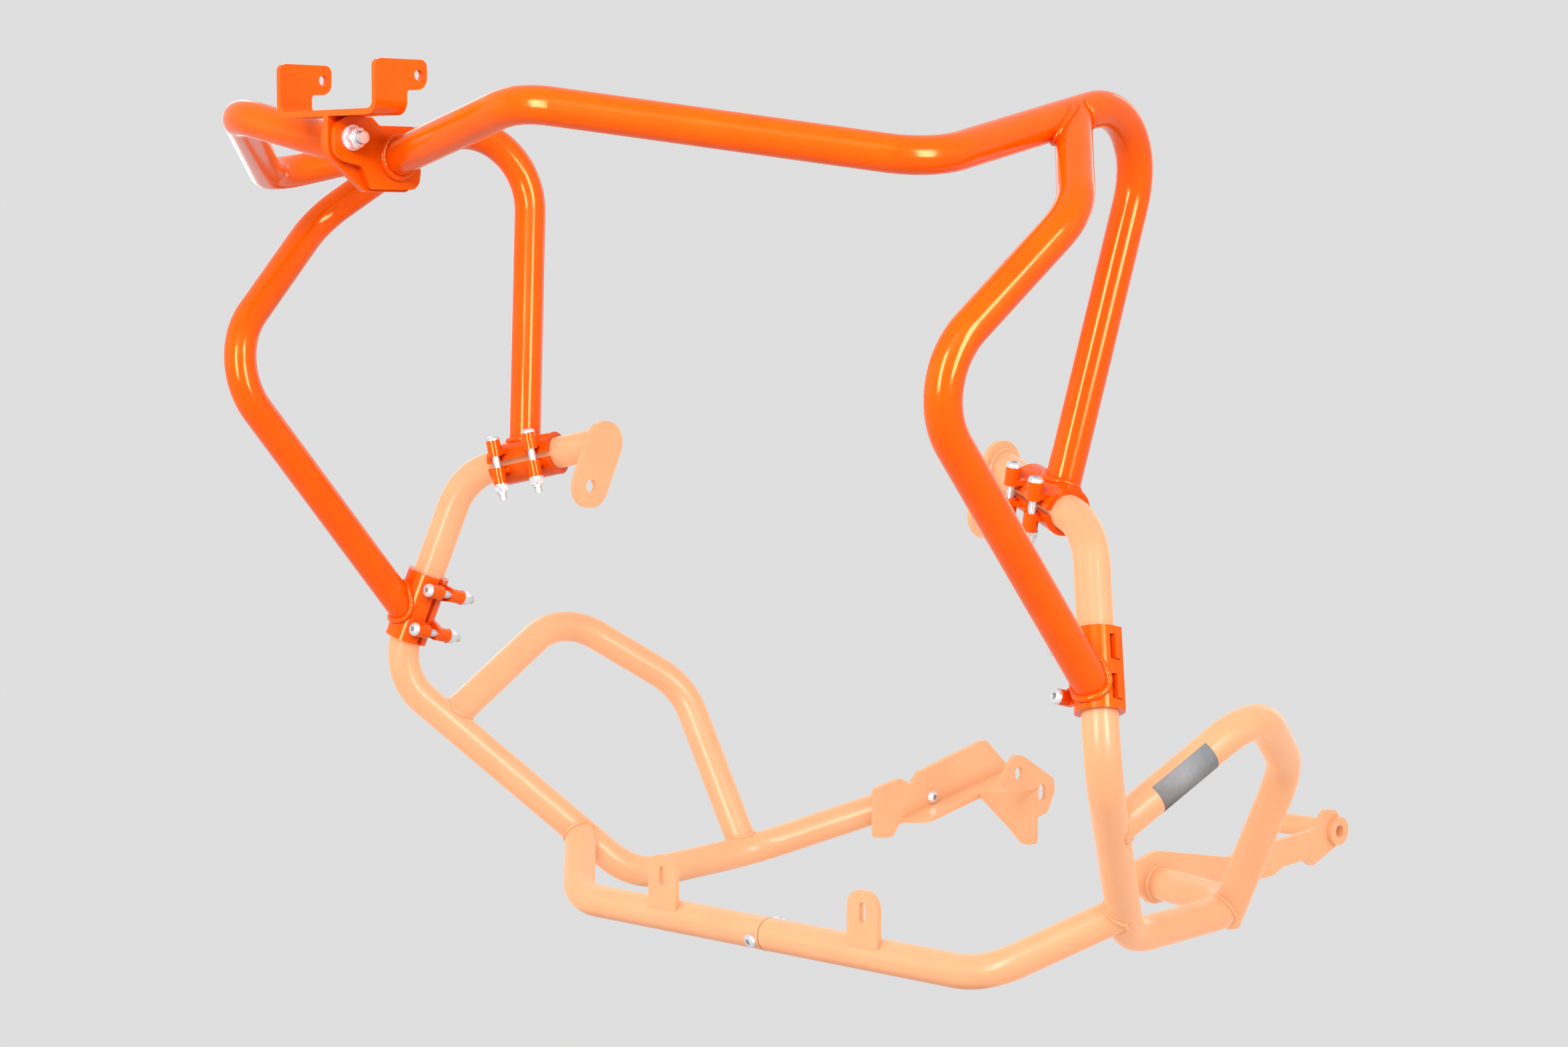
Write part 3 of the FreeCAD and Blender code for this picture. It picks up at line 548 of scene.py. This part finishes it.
def islands(piece):
    """Connected solids of a CAD node, each as a list of points."""
    build = bmesh.new()
    build.from_mesh(piece.data)
    bmesh.ops.remove_doubles(build, verts=build.verts, dist=MERGE_DISTANCE)
    left = set(build.verts)
    groups = []
    for first in build.verts:
        if first not in left:
            continue
        left.remove(first)
        stack = [first]
        group = []
        while stack:
            vert = stack.pop()
            group.append(vert.co.copy())
            for edge in vert.link_edges:
                other = edge.other_vert(vert)
                if other in left:
                    left.remove(other)
                    stack.append(other)
        groups.append(group)
    build.free()
    return groups


def long_axis(points):
    """Centre and direction of a solid's longest axis."""
    centre = sum(points, Vector()) / len(points)
    spread = Matrix(((0, 0, 0), (0, 0, 0), (0, 0, 0)))
    for place in points:
        offset = place - centre
        for i in range(3):
            for j in range(3):
                spread[i][j] += offset[i] * offset[j]
    axis = AXIS_GUESS
    for _ in range(AXIS_ROUNDS):
        axis = (spread @ axis).normalized()
    return centre, axis


def shank_of(points):
    """Tip, head end and direction from tip to head of a bolt."""
    centre, axis = long_axis(points)

    def along(place):
        return (place - centre).dot(axis)

    def width_at(end):
        return max(((place - centre) - axis * along(place)).length
                   for place in points if abs(along(place) - end) < HEAD_SLICE)

    low = min(map(along, points))
    high = max(map(along, points))
    if width_at(low) > width_at(high):
        axis, low, high = -axis, -high, -low
    tip_points = [place for place in points if abs(along(place) - low) < TIP_SLICE]
    tip = sum(tip_points, Vector()) / len(tip_points)
    return tip, tip + axis * (high - low), axis


def thread(name, points, radius, pitch):
    """Raised helix along the shank of a bolt."""
    tip, head_end, heading = shank_of(points)
    across = heading.orthogonal().normalized()
    upward = heading.cross(across)
    turns = (head_end - tip).length * THREADED_SHARE / pitch
    flank = heading * pitch * THREAD_FLANK
    rings = []
    for i in range(int(turns * THREAD_STEPS) + 1):
        turn = 2 * math.pi * i / THREAD_STEPS
        outward = across * math.cos(turn) + upward * math.sin(turn)
        at = tip + heading * (THREAD_START + pitch * i / THREAD_STEPS)
        root = at + outward * (radius - THREAD_SUNK)
        rings.append((root - flank, at + outward * (radius + THREAD_CREST), root + flank))
    finish_piece(name, loft(name, rings, ring_closed=False), thread_zinc)


def socket(name, points, across_flats):
    """Hexagon with a low rim where the key fits in a button head."""
    _, head_end, heading = shank_of(points)
    across = heading.orthogonal().normalized()
    upward = heading.cross(across)
    corner = across_flats / math.sqrt(3)
    rings = [circle(head_end + heading * lift, across, upward, corner * share, HEXAGON)
             for share, lift in SOCKET_RINGS]
    mesh = loft(name, rings, ring_closed=True, capped=True)
    finish_piece(name, mesh, shaded_socket_zinc).data.shade_flat()


for number, group in enumerate(islands(nodes["clamp_bolts"])):
    thread("clamp_thread_%d" % number, group, M6_RADIUS, M6_PITCH)
    socket("clamp_socket_%d" % number, group, CLAMP_KEY_WIDTH)
for name in ("cross_tube_bolt", "left_rear_bracket_bolt"):
    group = islands(nodes[name])[0]
    thread(name + "_thread", group, M6_RADIUS, M6_PITCH)
    socket(name + "_socket", group, SMALL_KEY_WIDTH)
thread("centre_bolt_thread", islands(nodes["centre_bolt"])[0], M8_RADIUS, M8_PITCH)


# Studio

FLOOR_DIAGONALS = 30
FLOOR_DROP = 0.004
FLOOR_ROUGHNESS = 0.9
AIR_STRENGTH = 0.20
LIGHT_DISTANCE = 3.4
# Azimuth and elevation in degrees, width and height in metres, watts, and whether the
# light draws a highlight and no shading or only shades
SOFTBOXES = (
    ("key", -12, 32, 1.8, 1.4, 130, False),
    ("fill_right", 62, 10, 1.6, 1.6, 48, False),
    ("fill_left", -82, 10, 1.6, 1.6, 60, False),
    ("fill_back", 180, 26, 2.4, 1.4, 75, False),
    ("fill_low", 10, -40, 2.0, 1.2, 26, False),
    ("strip_left", -28, 8, 0.76, 2.4, 180, True),
    ("strip_right", 33, 10, 1.00, 2.4, 215, True),
    ("strip_back_left", 200, 15, 0.4, 2.4, 6, True),
    ("strip_back_right", 145, 15, 0.4, 2.4, 6, True),
)

low, high = (Vector(corner) for corner in cad_box)
centre = (low + high) / 2


def seen_in_view(tree):
    """One for rays from the camera and for mirrored or passing ones, else zero."""
    path = tree.nodes.new("ShaderNodeLightPath")
    either = path.outputs["Is Camera Ray"]
    for name in ("Is Glossy Ray", "Is Transmission Ray"):
        larger = tree.nodes.new("ShaderNodeMath")
        larger.operation = "MAXIMUM"
        tree.links.new(either, larger.inputs[0])
        tree.links.new(path.outputs[name], larger.inputs[1])
        either = larger.outputs["Value"]
    return either


def show_grey(tree, kind, lighting, output):
    """Let a surface light the bars while the view shows the studio's grey."""
    grey = tree.nodes.new(kind)
    grey.inputs["Color"].default_value = STUDIO_GREY
    mix = tree.nodes.new("ShaderNodeMixShader")
    tree.links.new(seen_in_view(tree), mix.inputs["Fac"])
    tree.links.new(lighting.outputs[0], mix.inputs[1])
    tree.links.new(grey.outputs[0], mix.inputs[2])
    tree.links.new(mix.outputs["Shader"], tree.nodes[output].inputs["Surface"])


def studio_floor():
    """Wide floor just under the bars."""
    mesh = bpy.data.meshes.new("floor")
    build = bmesh.new()
    bmesh.ops.create_grid(build, x_segments=1, y_segments=1,
                          size=(high - low).length * FLOOR_DIAGONALS)
    build.to_mesh(mesh)
    build.free()
    material, tree, shader = new_material("studio_floor")
    shader.inputs["Base Color"].default_value = FLOOR_TONE
    shader.inputs["Roughness"].default_value = FLOOR_ROUGHNESS
    show_grey(tree, "ShaderNodeEmission", shader, "Material Output")
    mesh.materials.append(material)
    floor = bpy.data.objects.new("floor", mesh)
    floor.location = (0, 0, low.z - FLOOR_DROP)
    scene.collection.objects.link(floor)


def studio_air():
    """Even, faintly warm light from all round."""
    world = bpy.data.worlds.new("studio")
    scene.world = world
    world.use_nodes = True
    air = world.node_tree.nodes["Background"]
    air.inputs["Color"].default_value = AIR_TONE
    air.inputs["Strength"].default_value = AIR_STRENGTH
    show_grey(world.node_tree, "ShaderNodeBackground", air, "World Output")


def camera_at_viewpoint():
    """Camera that sees the bars as the photograph does."""
    up = CAMERA_RIGHT.cross(CAMERA_FORWARD).normalized()
    facing = Matrix((CAMERA_RIGHT, up, -CAMERA_FORWARD)).transposed().to_4x4()
    data = bpy.data.cameras.new("camera")
    data.sensor_width = CAMERA_SENSOR
    data.lens = CAMERA_LENS
    data.clip_end = CAMERA_CLIP
    camera = bpy.data.objects.new("camera", data)
    camera.matrix_world = Matrix.Translation(CAMERA_AT) @ facing
    scene.collection.objects.link(camera)
    scene.camera = camera


def softbox(name, azimuth, elevation, width, height, power, reflects):
    """Area light turned to the bars, its azimuth counted from the camera's side."""
    above = math.radians(elevation)
    flat = Vector((-CAMERA_FORWARD.x, -CAMERA_FORWARD.y, 0)).normalized()
    heading = Matrix.Rotation(math.radians(azimuth), 3, "Z") @ flat
    away = heading * math.cos(above) + Vector((0, 0, math.sin(above)))
    data = bpy.data.lights.new(name, "AREA")
    data.shape = "RECTANGLE"
    data.size = width
    data.size_y = height
    data.energy = power
    lamp = bpy.data.objects.new(name, data)
    lamp.location = centre + away * LIGHT_DISTANCE
    lamp.rotation_euler = (-away).to_track_quat("-Z", "Y").to_euler()
    lamp.visible_glossy = reflects
    lamp.visible_diffuse = not reflects
    scene.collection.objects.link(lamp)


studio_floor()
studio_air()
camera_at_viewpoint()
for softbox_row in SOFTBOXES:
    softbox(*softbox_row)
scene.view_settings.view_transform = "Standard"
